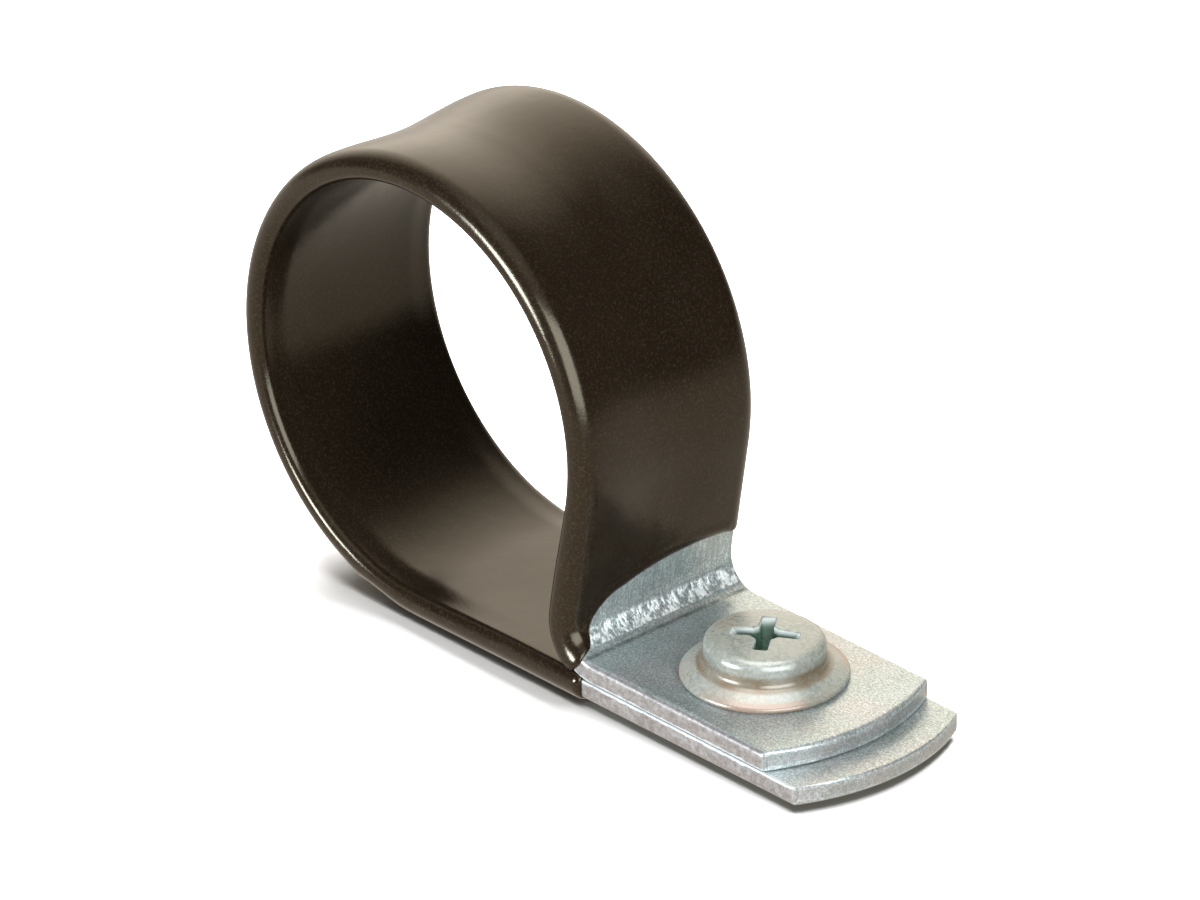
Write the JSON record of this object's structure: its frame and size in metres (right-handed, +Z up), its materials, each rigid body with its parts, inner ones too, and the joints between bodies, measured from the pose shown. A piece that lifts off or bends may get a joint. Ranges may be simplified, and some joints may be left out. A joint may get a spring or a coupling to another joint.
{
  "type": "p clip",
  "caption": "Steel cable clip: a round loop dipped in dark vinyl, with a flat two-leg tab that a washer-head cross-recess screw passes through.",
  "frame": {"origin": "where the fixing screw's axis meets the bare underside of the lower leg", "axes": "+X along the tab to its free end, +Y across the strap along the cable's axis, +Z up out of the screw's head"},
  "size_m": [0.0586, 0.0168, 0.0442],
  "materials": {
    "plated_strap": "bright zinc plate, mottled by handling",
    "vinyl": "dipped vinyl, glossy with a fine grain",
    "plated_screw": "zinc plate with a faint olive tint"
  },
  "bodies": {
    "root": {"steel_strap": "plated_strap", "vinyl_jacket": "vinyl", "fixing_screw": "plated_screw"}
  },
  "joints": []
}
